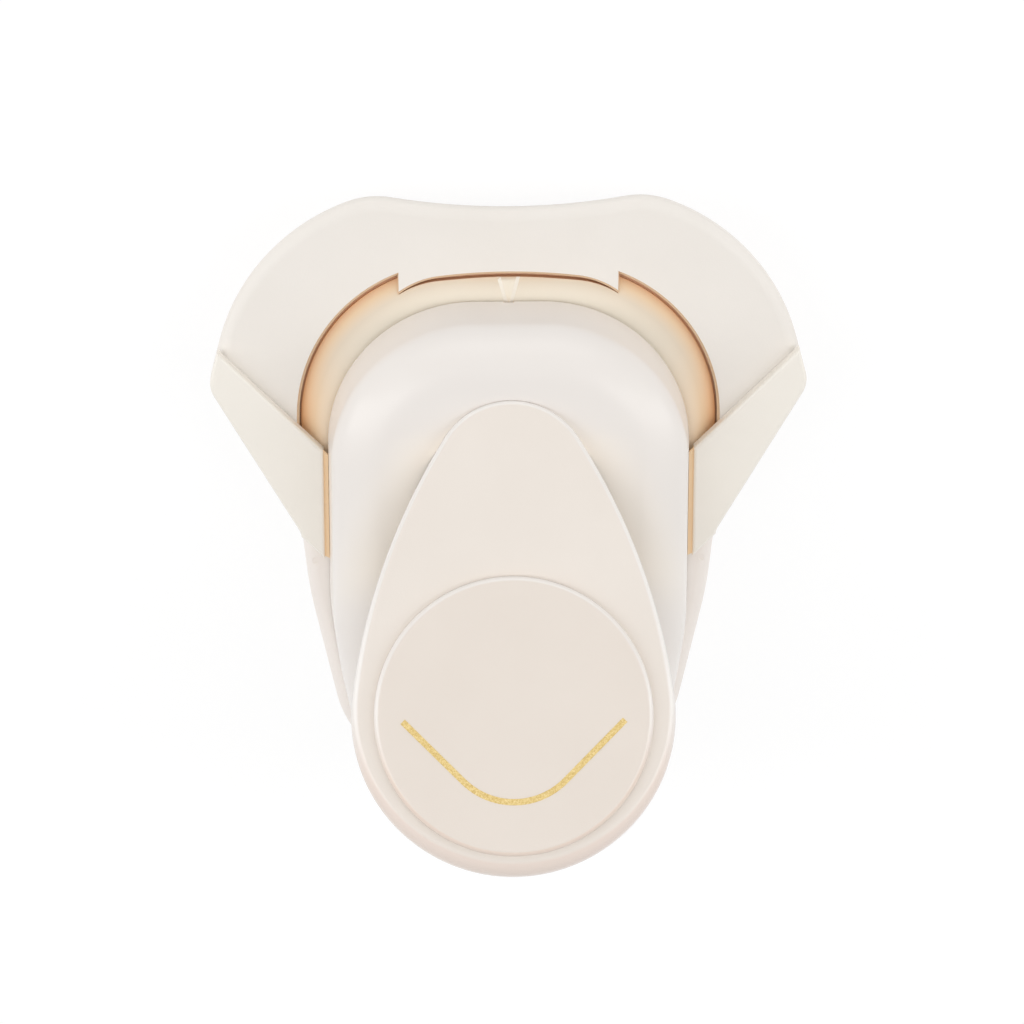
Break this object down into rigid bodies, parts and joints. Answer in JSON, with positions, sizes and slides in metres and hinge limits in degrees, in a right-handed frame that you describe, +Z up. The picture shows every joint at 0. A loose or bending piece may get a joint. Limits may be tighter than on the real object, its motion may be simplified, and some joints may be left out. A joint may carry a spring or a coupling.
{
  "type": "corner rounder punch",
  "caption": "Corner rounder punch with a round-nosed dome, a wide paper table with angled card guides and a teardrop thumb lever.",
  "frame": {"origin": "on the surface that the feet stand on, under the middle of the whole outline with the lever raised", "axes": "+X across the object, +Y towards the card entry, +Z up"},
  "size_m": [0.0846, 0.0897, 0.0497],
  "materials": {
    "cream_plastic": "fine matte texture",
    "table_plastic": "fine matte texture",
    "dome_plastic": "satin gloss",
    "gold_foil": "hot stamped foil",
    "tool_steel": "ground",
    "spring_steel": "drawn wire",
    "nylon": "moulded",
    "foot_rubber": "matte"
  },
  "bodies": {
    "base": {"base_pan": "cream_plastic", "base_housing": "cream_plastic", "card_bed": "cream_plastic", "paper_table": "table_plastic", "guide_left": "table_plastic", "guide_right": "table_plastic", "dome_cover": "dome_plastic", "die_plate": "tool_steel", "card_stop_left": "tool_steel", "card_stop_right": "tool_steel", "punch_guide": "tool_steel", "return_spring_left": "spring_steel", "return_spring_right": "spring_steel", "spring_post_left": "tool_steel", "spring_post_right": "tool_steel", "pivot_pin": "tool_steel", "base_screw_1": "tool_steel", "base_screw_2": "tool_steel", "base_screw_3": "tool_steel", "base_screw_4": "tool_steel", "table_screw_1": "tool_steel", "table_screw_2": "tool_steel", "table_screw_3": "tool_steel", "table_screw_4": "tool_steel", "die_screw_1": "tool_steel", "die_screw_2": "tool_steel", "die_screw_3": "tool_steel", "die_screw_4": "tool_steel", "foot_front_left": "foot_rubber", "foot_front_right": "foot_rubber", "foot_rear_left": "foot_rubber", "foot_rear_right": "foot_rubber"},
    "lever": {"lever_shell": "cream_plastic", "lever_frame": "tool_steel", "press_pin": "tool_steel", "thumb_pad": "cream_plastic", "corner_mark": "gold_foil", "lever_screw_1": "tool_steel", "lever_screw_2": "tool_steel"},
    "punch": {"punch": "tool_steel", "punch_holder": "nylon", "punch_pin": "tool_steel"}
  },
  "joints": [
    {"name": "lever_press", "type": "hinge", "parent": "base", "child": "lever", "pos_m": [0, 0.01355, 0.02221], "axis": [1, 0, 0], "range_deg": [0, 10.5], "stiffness_Nm_per_rad": 1.6, "springref_deg": -5.73},
    {"name": "punch_slide", "type": "slide", "parent": "base", "child": "punch", "axis": [0, 0, -1], "range_m": [0, 0.0054], "deforming": ["return_spring_left", "return_spring_right"]}
  ],
  "couplings": [
    {"joint": "punch_slide", "follows": "lever_press", "m_per_rad": 0.029067}
  ]
}
